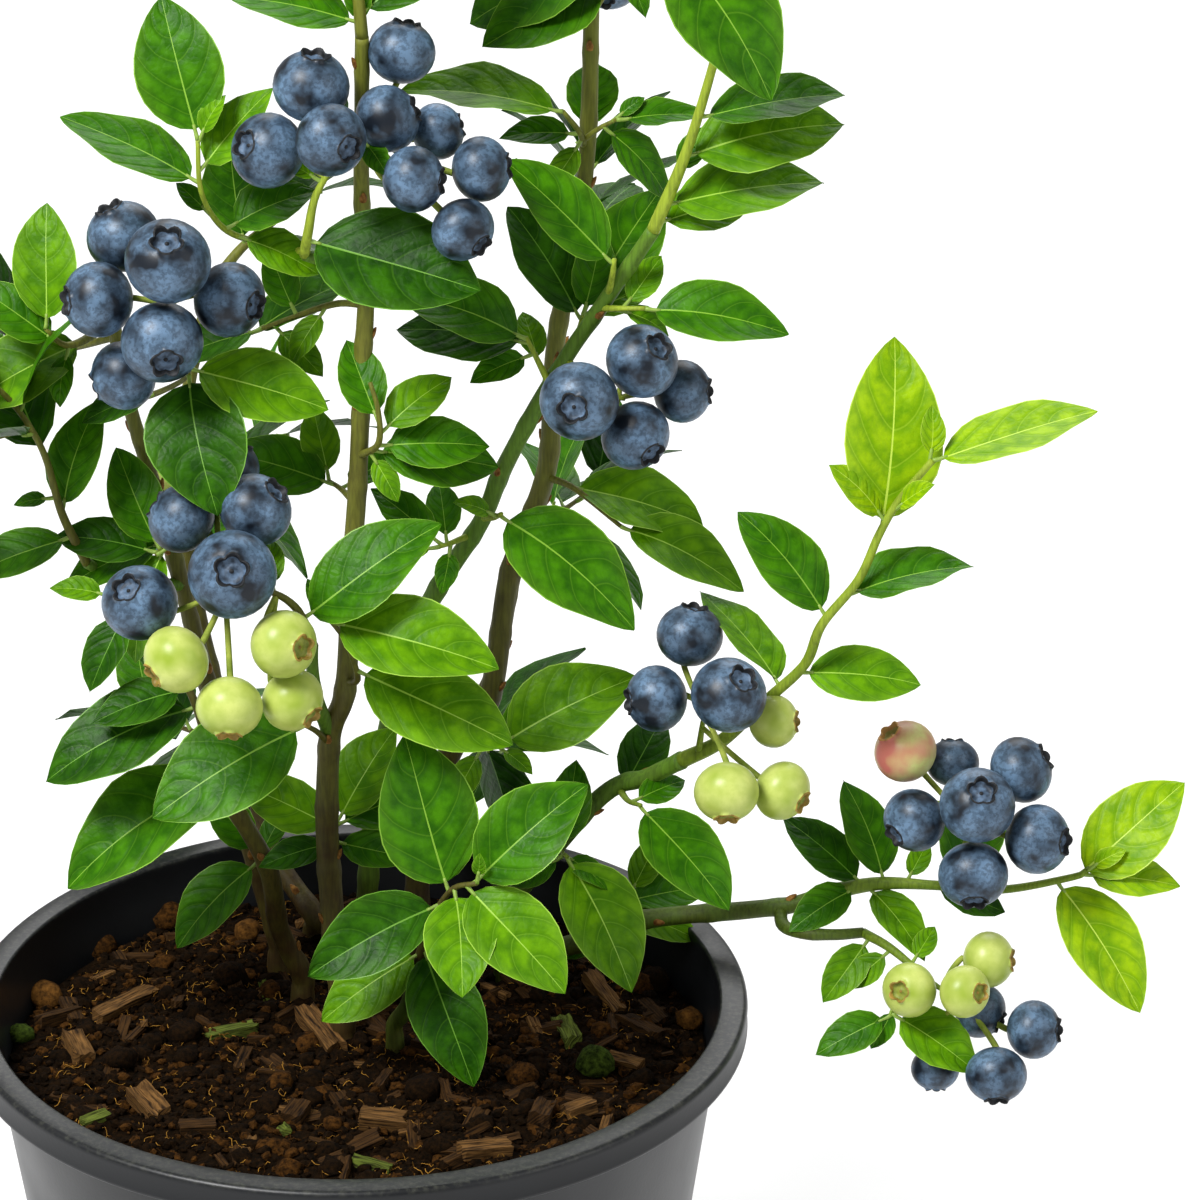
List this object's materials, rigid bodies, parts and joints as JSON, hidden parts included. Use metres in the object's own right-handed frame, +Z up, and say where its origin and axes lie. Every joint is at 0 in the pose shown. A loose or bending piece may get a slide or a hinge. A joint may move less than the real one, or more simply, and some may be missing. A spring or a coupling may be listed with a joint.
{
  "type": "blueberry bush in a pot",
  "caption": "Highbush blueberry shrub with ripe and unripe fruit, its canes rising from bark soil in a round black nursery pot.",
  "frame": {"origin": "centre of the pot's flat underside", "axes": "+Z up along the pot's axis, -Y towards the front, +X to the right as seen from the front"},
  "size_m": [0.3272, 0.2348, 0.5144],
  "materials": {
    "pot plastic": "satin moulded black plastic",
    "bark soil": "rough shredded bark and peat",
    "cane bark": "matt brown-green bark",
    "foliage and fruit": "satin green leaf"
  },
  "bodies": {
    "root": {"pot": "pot plastic", "soil": "bark soil", "cane_a": "cane bark", "cane_b": "cane bark", "cane_c": "cane bark", "cane_d": "cane bark", "cane_e": "cane bark", "cane_f": "cane bark", "cane_g": "cane bark", "cane_h": "cane bark", "cane_i": "cane bark", "cane_j": "cane bark", "bough_b_left": "cane bark", "bough_b_high": "cane bark", "bough_f_low": "cane bark", "bough_h_left": "cane bark", "fruit_b_left": "foliage and fruit", "fruit_h_front": "foliage and fruit", "fruit_b_high": "foliage and fruit", "fruit_d_right": "foliage and fruit", "spray_g": "foliage and fruit", "spray_e": "foliage and fruit", "spray_f": "foliage and fruit", "spray_f_low": "foliage and fruit", "leaf_d_front": "foliage and fruit", "leaves_b_right": "foliage and fruit", "leaf_b_fold": "foliage and fruit", "leaf_d_left": "foliage and fruit", "spray_d": "foliage and fruit", "leaves_d_right": "foliage and fruit", "leaves_d_fork": "foliage and fruit", "leaves_d_behind": "foliage and fruit", "leaves_d_low": "foliage and fruit", "leaf_e_low": "foliage and fruit", "leaves_e_foot": "foliage and fruit", "leaves_f_foot": "foliage and fruit", "leaves_c_mid": "foliage and fruit", "leaves_c_low": "foliage and fruit", "leaves_c_high": "foliage and fruit", "spray_c_fork": "foliage and fruit", "spray_c_back": "foliage and fruit", "spray_c_crown": "foliage and fruit", "leaves_h_left": "foliage and fruit", "spray_left": "foliage and fruit", "leaves_h_mid": "foliage and fruit", "spray_h_crown": "foliage and fruit", "leaves_a_tip": "foliage and fruit", "leaves_a_low": "foliage and fruit", "leaves_b_foot": "foliage and fruit", "leaves_b_high": "foliage and fruit", "leaves_b_behind": "foliage and fruit", "leaves_b_dark": "foliage and fruit", "leaves_b_top": "foliage and fruit", "spray_b_crown": "foliage and fruit", "spray_i_low": "foliage and fruit", "spray_i_mid": "foliage and fruit", "spray_i_crown": "foliage and fruit", "spray_j_low": "foliage and fruit", "spray_j_mid": "foliage and fruit", "spray_j_crown": "foliage and fruit"}
  },
  "joints": []
}
